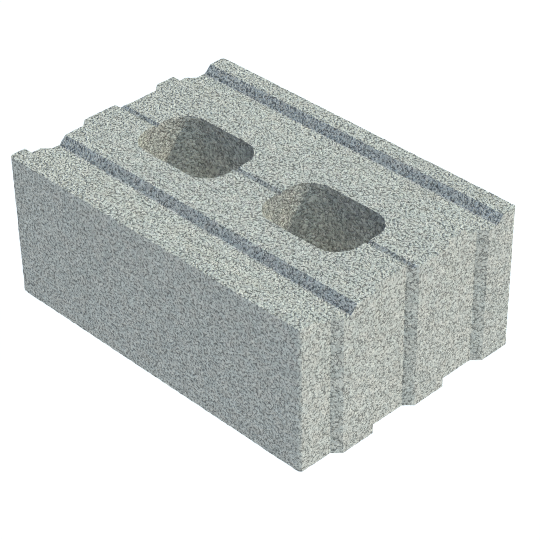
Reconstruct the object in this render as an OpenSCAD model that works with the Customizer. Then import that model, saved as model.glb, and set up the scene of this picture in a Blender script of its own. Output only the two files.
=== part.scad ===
// Lightweight aggregate concrete wall block, cast in one piece.
// Keyed ends, two bed grooves, a scored centre line and two grip holes.
// Frame: origin at the middle of the underside, +X along the length, +Y to the back, +Z up. Millimetres.

/* [Body] */
// Length over the projecting keys of both ends
block_len = 498; // [420:1:600]
// Width, from the front face to the back face
block_w = 340; // [280:1:400]
// Height, from the underside to the top
block_h = 197; // [150:1:250]
// Radius of the four upright corners
corner_r = 5; // [2:0.5:9]

/* [Keyed ends] */
// Depth of the recesses between the keys
key_depth = 10; // [5:0.5:20]
// Sideways run of each sloping key flank
key_flank_run = 10.5; // [4:0.5:16]
// Width of the outermost strip of an end, from the face to the middle of its flank; the rest is shared equally
outer_strip_w = 52; // [40:0.5:65]

/* [Bed grooves] */
// Width of the rib between each groove and the face beside it
edge_rib_w = 23.5; // [15:0.5:30]
// Width of each groove at the top
groove_top_w = 54; // [30:1:70]
// Width of each groove at its flat bottom
groove_bottom_w = 35; // [20:1:50]
// Depth of each groove
groove_depth = 10; // [4:0.5:20]

/* [Scored centre line] */
// Width of the score at the top
score_w = 8; // [4:0.5:14]
// Depth of the score
score_depth = 4; // [2:0.5:8]

/* [Grip holes] */
// Length of each hole at the top
hole_len = 139; // [90:1:160]
// Width of each hole at the top
hole_w = 97; // [70:1:120]
// Width of the web between the two holes at the top
centre_web = 74; // [40:1:90]
// Radius of the hole's rounded corners at the top
hole_corner_r = 33; // [10:1:45]
// Draft: how far each wall of the hole comes in from the top to the underside
hole_draft = 2; // [0.5:0.5:5]

/* [Hidden] */
half_len = block_len / 2;
half_w = block_w / 2;
flank = key_flank_run / 2;
recess_x = half_len - key_depth;
flank_outer_y = half_w - outer_strip_w;
flank_mid_y = flank_outer_y / 2;
groove_y = half_w - edge_rib_w - groove_top_w / 2;
hole_x = (centre_web + hole_len) / 2;
cut_past = 1;
draft_per_mm = hole_draft / block_h;
hole_r_low = hole_corner_r - hole_draft - draft_per_mm * cut_past;
hole_r_high = hole_corner_r + draft_per_mm * cut_past;
hole_dx = hole_len / 2 - hole_corner_r;
hole_dy = hole_w / 2 - hole_corner_r;

// One keyed end as a run of plan points, from the front corner to the back corner
function keyed_end() = [
    [recess_x, -half_w],
    [recess_x, -flank_outer_y - flank],
    [half_len, -flank_outer_y + flank],
    [half_len, -flank_mid_y - flank],
    [recess_x, -flank_mid_y + flank],
    [recess_x, -flank],
    [half_len, flank],
    [half_len, flank_mid_y - flank],
    [recess_x, flank_mid_y + flank],
    [recess_x, flank_outer_y - flank],
    [half_len, flank_outer_y + flank],
    [half_len, half_w],
];

// What an upright corner loses to its radius, for a corner at the origin that fills x < 0 and y < 0
module corner_loss() {
    difference() {
        translate([-corner_r, -corner_r])
            square(corner_r + cut_past);
        translate([-corner_r, -corner_r])
            circle(r = corner_r, $fn = 48);
    }
}

module plan() {
    end_points = keyed_end();
    other_end = [for (p = end_points) [-p[0], -p[1]]];
    difference() {
        polygon(concat(end_points, other_end));
        for (turn = [0, 180])
            rotate(turn) {
                translate([half_len, half_w])
                    corner_loss();
                translate([recess_x, -half_w])
                    rotate(-90)
                        corner_loss();
            }
    }
}

// A straight trough of given section, running the whole length
module along_length(section) {
    translate([-half_len - cut_past, 0, 0])
        rotate([90, 0, 90])
            linear_extrude(height = block_len + 2 * cut_past)
                polygon(section);
}

module bed_groove() {
    wall_slope = (groove_top_w - groove_bottom_w) / 2 / groove_depth;
    past_w = groove_top_w + 2 * wall_slope * cut_past;
    along_length([
        [-groove_bottom_w / 2, block_h - groove_depth],
        [groove_bottom_w / 2, block_h - groove_depth],
        [past_w / 2, block_h + cut_past],
        [-past_w / 2, block_h + cut_past],
    ]);
}

module centre_score() {
    past_w = score_w * (score_depth + cut_past) / score_depth;
    along_length([
        [0, block_h - score_depth],
        [past_w / 2, block_h + cut_past],
        [-past_w / 2, block_h + cut_past],
    ]);
}

// Rounded rectangle that narrows downwards, right through the block
module grip_hole() {
    hull()
        for (sx = [-1, 1], sy = [-1, 1])
            translate([sx * hole_dx, sy * hole_dy, -cut_past])
                cylinder(h = block_h + 2 * cut_past, r1 = hole_r_low, r2 = hole_r_high, $fn = 32);
}

module hollow_block() {
    color([0.60, 0.62, 0.61])
        difference() {
            linear_extrude(height = block_h)
                plan();
            for (side = [-1, 1]) {
                translate([0, side * groove_y, 0])
                    bed_groove();
                translate([side * hole_x, 0, 0])
                    grip_hole();
            }
            centre_score();
        }
}

hollow_block();
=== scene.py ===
"""The look of a lightweight aggregate concrete wall block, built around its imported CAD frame."""
import math

import bpy
import numpy as np
from mathutils import Matrix, Vector


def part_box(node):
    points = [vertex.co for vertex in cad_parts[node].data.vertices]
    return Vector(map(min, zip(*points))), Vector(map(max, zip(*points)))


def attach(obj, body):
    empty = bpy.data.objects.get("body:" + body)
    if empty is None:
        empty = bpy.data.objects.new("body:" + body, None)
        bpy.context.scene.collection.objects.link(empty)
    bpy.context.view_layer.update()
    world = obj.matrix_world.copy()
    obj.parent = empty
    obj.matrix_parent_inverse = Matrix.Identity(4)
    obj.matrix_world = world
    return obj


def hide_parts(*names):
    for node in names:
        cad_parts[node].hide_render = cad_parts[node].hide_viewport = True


NODE = "hollow_block"
MM = 0.001
ARRIS = "arris"

# Camera
VIEW_AZIMUTH = math.radians(46.22)
VIEW_ELEVATION = math.radians(35.56)
VIEW_ROLL = math.radians(-0.91)
VIEW_DISTANCE = 2.3825
VIEW_TARGET = Vector((0.0190, -0.0006, 0.0787))
LENS_MM = 133.3
SENSOR_MM = 36.0

# Light: name, azimuth from +X towards +Y and elevation in degrees, strength, colour
LAMPS = (
    ("key", 40.0, 45.0, 2.85, (1.00, 1.00, 0.88)),
    ("rim", 90.0, 40.0, 1.35, (0.92, 1.04, 0.70)),
    ("fill", -45.0, 40.0, 1.40, (0.88, 1.04, 1.02)),
)
LAMP_SOFTNESS = math.radians(6)
STAGE_GLOW = (1.00, 1.09, 1.16)
SKY_COLOUR = (0.00, 0.10, 0.46)
HORIZON_FADE = (0.05, 0.15)

# Floor: white, with a patch under the block that glows less blue
FLOOR_SIZE = 40.0
FLOOR_BASE = 0.02
PATCH_INSET = 40 * MM
PATCH_BASE = 0.8
PATCH_GLOW = (1.00, 0.94, 0.88)

# Mesh: an even grid with the arrises kept, pressed in by the relief
OCTREE_DEPTH = 8
MESH_SPACING = 3.0 * MM
ARRIS_ANGLE = math.radians(30)
RELIEF_SIZE = 9.0 * MM
RELIEF_DEPTH = 0.25 * MM
WEAR_SIZE = 8.0 * MM
WEAR_DEPTH = 0.5 * MM

# Grain of the open concrete, in colour and bump, with painted shade darkening the pits between the
# grains
GRAIN_SIZE = 3.7 * MM
PIT_SHADE_REACH = 0.22
VALLEY_REACH = 0.42
CLOSED_VALLEY = 0.45
CROWN_SHARE = 0.72
BUMP_DEPTH = 2.4 * MM
ROUGHNESS = 0.92
SPECULAR = 0.25
BLOTCH_SIZE = 40 * MM
HUE_SIZE = 14 * MM
COOL_GREY = (0.513, 0.508, 0.455)
PALE_GREY = (0.540, 0.531, 0.473)
WARM_GREY = (0.550, 0.522, 0.458)
GRAIN_TONES = (0.84, 1.15)
FINE_TONES = (0.93, 1.06)

# How that grain differs between the struck faces, the mould's skin and the cored walls of the holes
OPEN_BUMP = 0.75
SKIN_BUMP = 0.66
CORED_BUMP = 1.0
# Painted shade: how far the pits are darkened in the colour on the struck faces, the mould's skin and
# the cored walls
OPEN_PIT_SHADE = 0.80
SKIN_PIT_SHADE = 0.72
CORED_PIT_SHADE = 0.64
CORED_CONTRAST = 0.7
SKIN_TONE = 0.91
SKIN_REACH = 13 * MM
UPRIGHT_MAX_Z = 0.4


def node(tree, kind, inputs=None, **settings):
    """Adds a node, sets its properties and fills its inputs with values or other nodes' sockets."""
    made = tree.nodes.new(kind)
    for name, value in settings.items():
        setattr(made, name, value)
    for name, value in (inputs or {}).items():
        socket = made.inputs[name]
        if isinstance(value, bpy.types.NodeSocket):
            tree.links.new(value, socket)
        else:
            socket.default_value = value
    return made


def maths(tree, operation, a, b=None, c=None):
    values = {i: v for i, v in enumerate((a, b, c)) if v is not None}
    return node(tree, "ShaderNodeMath", values, operation=operation).outputs[0]


def vector_maths(tree, operation, a, b=None, scale=None):
    values = {i: v for i, v in enumerate((a, b)) if v is not None}
    if scale is not None:
        values["Scale"] = scale
    return node(tree, "ShaderNodeVectorMath", values, operation=operation).outputs[0]


def parts(tree, vector):
    return node(tree, "ShaderNodeSeparateXYZ", {"Vector": vector}).outputs


def remap(tree, value, low, high, to_low=0.0, to_high=1.0, kind="SMOOTHSTEP"):
    inputs = {"Value": value, "From Min": low, "From Max": high, "To Min": to_low, "To Max": to_high}
    made = node(tree, "ShaderNodeMapRange", inputs, interpolation_type=kind)
    return made.outputs[0]


def blend(tree, mask, at_zero, at_one):
    return remap(tree, mask, 0.0, 1.0, at_zero, at_one, kind="LINEAR")


def noise(tree, position, size, detail=2.0):
    """Noise with features about `size` metres across, as a factor round 0.5 and as a colour."""
    inputs = {"Vector": position, "Scale": 1 / size, "Detail": detail}
    made = node(tree, "ShaderNodeTexNoise", inputs)
    return made.outputs[0], made.outputs[1]


def voronoi(tree, position, size, feature):
    inputs = {"Vector": position, "Scale": 1 / size}
    return node(tree, "ShaderNodeTexVoronoi", inputs, feature=feature).outputs


def grain(tree, position):
    """Height, from 0 in the gaps to 1 on the crowns, the mask of the pits where shade is painted, a
    colour per grain, fine noise.
    """
    wobble = noise(tree, position, GRAIN_SIZE * 0.7)[1]
    wobble = vector_maths(tree, "SUBTRACT", wobble, (0.5, 0.5, 0.5))
    wobble = vector_maths(tree, "SCALE", wobble, scale=GRAIN_SIZE)
    warped = vector_maths(tree, "ADD", position, wobble)
    edge = voronoi(tree, warped, GRAIN_SIZE, "DISTANCE_TO_EDGE")[0]
    colour = voronoi(tree, warped, GRAIN_SIZE, "F1")[1]
    fine = remap(tree, noise(tree, position, GRAIN_SIZE * 0.45, 1.0)[0], 0.3, 0.7)
    open_here = remap(tree, noise(tree, position, GRAIN_SIZE * 0.9, 1.0)[0], 0.40, 0.60)
    # Mask of the pits between the grains, used only to paint shade into them
    pit_shade_mask = maths(tree, "MULTIPLY", remap(tree, edge, 0.0, PIT_SHADE_REACH, 1.0, 0.0), open_here)
    valley = remap(tree, edge, 0.0, VALLEY_REACH, 1.0, 0.0)
    valley = maths(tree, "MULTIPLY", valley, blend(tree, open_here, CLOSED_VALLEY, 1.0))
    crown = maths(tree, "MULTIPLY", maths(tree, "SUBTRACT", 1.0, valley), CROWN_SHARE)
    height = maths(tree, "ADD", crown, maths(tree, "MULTIPLY", fine, 1.0 - CROWN_SHARE))
    return height, pit_shade_mask, colour, fine


def camera():
    data = bpy.data.cameras.new("camera")
    data.lens = LENS_MM
    data.sensor_width = SENSOR_MM
    made = bpy.data.objects.new("camera", data)
    flat = math.cos(VIEW_ELEVATION)
    forward = Vector((
        -math.sin(VIEW_AZIMUTH) * flat,
        math.cos(VIEW_AZIMUTH) * flat,
        -math.sin(VIEW_ELEVATION),
    ))
    place = VIEW_TARGET - forward * VIEW_DISTANCE
    turn = forward.to_track_quat("-Z", "Y").to_matrix() @ Matrix.Rotation(VIEW_ROLL, 3, "Z")
    made.matrix_world = Matrix.Translation(place) @ turn.to_4x4()
    bpy.context.scene.collection.objects.link(made)
    bpy.context.scene.camera = made


def lamp(name, azimuth, elevation, strength, colour):
    data = bpy.data.lights.new(name, "SUN")
    data.angle = LAMP_SOFTNESS
    data.energy = strength
    data.color = colour
    made = bpy.data.objects.new(name, data)
    turn = math.radians(azimuth)
    rise = math.radians(elevation)
    flat = math.cos(rise)
    towards = Vector((flat * math.cos(turn), flat * math.sin(turn), math.sin(rise)))
    made.rotation_euler = towards.to_track_quat("Z", "Y").to_euler()
    bpy.context.scene.collection.objects.link(made)


def lights():
    """Three lamps under a sky that is white at the horizon and faintly blue overhead."""
    for row in LAMPS:
        lamp(*row)
    world = bpy.data.worlds.new("sky")
    bpy.context.scene.world = world
    world.use_nodes = True
    tree = world.node_tree
    direction = node(tree, "ShaderNodeTexCoord").outputs["Generated"]
    rise = parts(tree, direction)["Z"]
    fade = remap(tree, rise, *HORIZON_FADE, 1.0, 0.0)
    horizon = vector_maths(tree, "SCALE", STAGE_GLOW, scale=fade)
    overhead = vector_maths(tree, "SCALE", SKY_COLOUR, scale=maths(tree, "MAXIMUM", rise, 0.0))
    glow = vector_maths(tree, "ADD", horizon, overhead)
    tree.links.new(glow, tree.nodes["Background"].inputs["Color"])


def stage_material(name, base, glow):
    material = bpy.data.materials.new(name)
    material.use_nodes = True
    shader = material.node_tree.nodes["Principled BSDF"]
    shader.inputs["Base Color"].default_value = (base, base, base, 1.0)
    shader.inputs["Roughness"].default_value = 1.0
    shader.inputs["Specular IOR Level"].default_value = 0.0
    shader.inputs["Emission Color"].default_value = (*glow, 1.0)
    shader.inputs["Emission Strength"].default_value = 1.0
    return material


def floor():
    """A floor that glows white, round a patch under the block that gives the light in the holes."""
    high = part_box(NODE)[1]
    half = FLOOR_SIZE / 2
    rings = ((half, half), (high.x - PATCH_INSET, high.y - PATCH_INSET))
    turns = ((-1, -1), (1, -1), (1, 1), (-1, 1))
    corners = [(x * across, y * along, 0) for x, y in rings for across, along in turns]
    faces = [(i, (i + 1) % 4, (i + 1) % 4 + 4, i + 4) for i in range(4)] + [(4, 5, 6, 7)]
    mesh = bpy.data.meshes.new("floor")
    mesh.from_pydata(corners, [], faces)
    mesh.materials.append(stage_material("floor_white", FLOOR_BASE, STAGE_GLOW))
    mesh.materials.append(stage_material("floor_under_block", PATCH_BASE, PATCH_GLOW))
    mesh.polygons[4].material_index = 1
    made = bpy.data.objects.new("floor", mesh)
    bpy.context.scene.collection.objects.link(made)


def mix(tree, factor, a, b):
    """Mixes colour `a`, plain or from another node, towards the plain colour `b`."""
    inputs = {"Factor": factor, 6: (*a, 1.0) if isinstance(a, tuple) else a, 7: (*b, 1.0)}
    return node(tree, "ShaderNodeMix", inputs, data_type="RGBA").outputs[2]


def upright_faces(tree, position):
    """Masks of the outer upright faces, which the mould closes, and of the holes' cored walls."""
    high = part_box(NODE)[1]
    place = parts(tree, vector_maths(tree, "ABSOLUTE", position))
    to_end = maths(tree, "SUBTRACT", high.x, place["X"])
    to_face = maths(tree, "SUBTRACT", high.y, place["Y"])
    outer = maths(tree, "LESS_THAN", maths(tree, "MINIMUM", to_end, to_face), SKIN_REACH)
    normal = parts(tree, node(tree, "ShaderNodeNewGeometry").outputs["True Normal"])
    upright = maths(tree, "LESS_THAN", maths(tree, "ABSOLUTE", normal["Z"]), UPRIGHT_MAX_Z)
    cored = maths(tree, "GREATER_THAN", maths(tree, "SUBTRACT", upright, outer), 0.5)
    return maths(tree, "MULTIPLY", outer, upright), cored


def concrete():
    material = bpy.data.materials.new("open_concrete")
    material.use_nodes = True
    tree = material.node_tree
    shader = tree.nodes["Principled BSDF"]
    position = node(tree, "ShaderNodeTexCoord").outputs["Object"]
    height, pit_shade_mask, tone, fine = grain(tree, position)
    skin, cored = upright_faces(tree, position)

    blotch = remap(tree, noise(tree, position, BLOTCH_SIZE, 3.0)[0], 0.35, 0.65)
    hue = remap(tree, noise(tree, position, HUE_SIZE, 3.0)[0], 0.35, 0.68)
    base = mix(tree, hue, mix(tree, blotch, COOL_GREY, PALE_GREY), WARM_GREY)
    bright = node(tree, "ShaderNodeSeparateColor", {"Color": tone}).outputs[0]
    bright = blend(tree, bright, *GRAIN_TONES)
    bright = maths(tree, "POWER", bright, maths(tree, "MULTIPLY_ADD", cored, CORED_CONTRAST, 1.0))
    bright = maths(tree, "MULTIPLY", bright, blend(tree, fine, *FINE_TONES))
    # Painted shade: the pits are darkened in the colour, less on the skin and in the cored walls than
    # on the struck faces
    shade = blend(tree, skin, OPEN_PIT_SHADE, SKIN_PIT_SHADE)
    shade = maths(tree, "MULTIPLY_ADD", cored, CORED_PIT_SHADE - OPEN_PIT_SHADE, shade)
    depth = maths(tree, "MULTIPLY", pit_shade_mask, shade)
    bright = maths(tree, "MULTIPLY", bright, maths(tree, "SUBTRACT", 1.0, depth))
    bright = maths(tree, "MULTIPLY", bright, blend(tree, skin, 1.0, SKIN_TONE))
    tree.links.new(vector_maths(tree, "SCALE", base, scale=bright), shader.inputs["Base Color"])
    shader.inputs["Roughness"].default_value = ROUGHNESS
    shader.inputs["Specular IOR Level"].default_value = SPECULAR
    strength = blend(tree, skin, OPEN_BUMP, SKIN_BUMP)
    strength = maths(tree, "MULTIPLY_ADD", cored, CORED_BUMP - OPEN_BUMP, strength)
    inputs = {"Height": height, "Distance": BUMP_DEPTH, "Strength": strength}
    bump = node(tree, "ShaderNodeBump", inputs)
    tree.links.new(bump.outputs[0], shader.inputs["Normal"])
    return material


def relief(name):
    """Geometry nodes that press unevenness into the faces and wear into the arrises, inwards only."""
    tree = bpy.data.node_groups.new(name, "GeometryNodeTree")
    tree.interface.new_socket("Geometry", in_out="INPUT", socket_type="NodeSocketGeometry")
    tree.interface.new_socket("Geometry", in_out="OUTPUT", socket_type="NodeSocketGeometry")
    source = tree.nodes.new("NodeGroupInput").outputs[0]
    position = tree.nodes.new("GeometryNodeInputPosition").outputs[0]
    normal = tree.nodes.new("GeometryNodeInputNormal").outputs[0]
    marked = node(tree, "GeometryNodeInputNamedAttribute", {"Name": ARRIS}, data_type="FLOAT")
    arris = marked.outputs[0]
    uneven = remap(tree, noise(tree, position, RELIEF_SIZE)[0], 0.3, 0.7, 0.0, RELIEF_DEPTH)
    wear = remap(tree, noise(tree, position, WEAR_SIZE)[0], 0.35, 0.7, 0.0, WEAR_DEPTH)
    depth = maths(tree, "MULTIPLY_ADD", arris, wear, uneven)
    offset = vector_maths(tree, "SCALE", normal, scale=maths(tree, "MULTIPLY", depth, -1.0))
    moved = node(tree, "GeometryNodeSetPosition", {"Geometry": source, "Offset": offset}).outputs[0]
    tree.links.new(moved, tree.nodes.new("NodeGroupOutput").inputs[0])
    return tree


def apply_modifiers(piece):
    graph = bpy.context.evaluated_depsgraph_get()
    piece.data = bpy.data.meshes.new_from_object(piece.evaluated_get(graph))
    piece.modifiers.clear()


def mark_arrises(mesh):
    """Keeps the shading crisp across the arrises, and marks their vertices for the relief."""
    mesh.set_sharp_from_angle(angle=ARRIS_ANGLE)
    sharp = np.zeros(len(mesh.edges), bool)
    mesh.attributes["sharp_edge"].data.foreach_get("value", sharp)
    ends = np.empty(len(mesh.edges) * 2, np.int32)
    mesh.edges.foreach_get("vertices", ends)
    on_arris = np.zeros(len(mesh.vertices), np.float32)
    on_arris[ends.reshape(-1, 2)[sharp].ravel()] = 1.0
    mesh.attributes.new(ARRIS, "FLOAT", "POINT").data.foreach_set("value", on_arris)


def keep_inside(mesh, low, high):
    places = np.empty(len(mesh.vertices) * 3, np.float32)
    mesh.vertices.foreach_get("co", places)
    places = np.clip(places.reshape(-1, 3), low, high)
    mesh.vertices.foreach_set("co", places.ravel())
    mesh.update()


def block():
    low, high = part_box(NODE)
    piece = bpy.data.objects.new("concrete_block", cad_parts[NODE].data.copy())
    bpy.context.scene.collection.objects.link(piece)
    piece.data.materials.clear()
    spacing = MESH_SPACING
    even = piece.modifiers.new("even_grid", "REMESH")
    even.mode = "SHARP"
    even.octree_depth = OCTREE_DEPTH
    even.scale = max(high - low) / (spacing * 2 ** OCTREE_DEPTH)
    even.use_remove_disconnected = False
    apply_modifiers(piece)
    keep_inside(piece.data, low, high)
    mark_arrises(piece.data)
    piece.modifiers.new("worn_surface", "NODES").node_group = relief("worn_surface")
    apply_modifiers(piece)
    keep_inside(piece.data, low, high)
    piece.data.shade_smooth()
    piece.data.materials.append(concrete())
    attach(piece, "root")
    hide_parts(NODE)


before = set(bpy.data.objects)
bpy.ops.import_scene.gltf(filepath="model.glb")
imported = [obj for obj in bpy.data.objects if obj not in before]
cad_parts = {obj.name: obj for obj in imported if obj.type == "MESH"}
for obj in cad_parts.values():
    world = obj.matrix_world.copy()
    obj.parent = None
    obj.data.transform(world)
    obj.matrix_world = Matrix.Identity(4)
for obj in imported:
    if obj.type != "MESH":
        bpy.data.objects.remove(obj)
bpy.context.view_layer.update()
bpy.context.scene.view_settings.view_transform = "Standard"
bpy.context.scene.cycles.denoising_prefilter = "NONE"
bpy.context.scene.cycles.filter_width = 1.0
camera()
lights()
floor()
block()
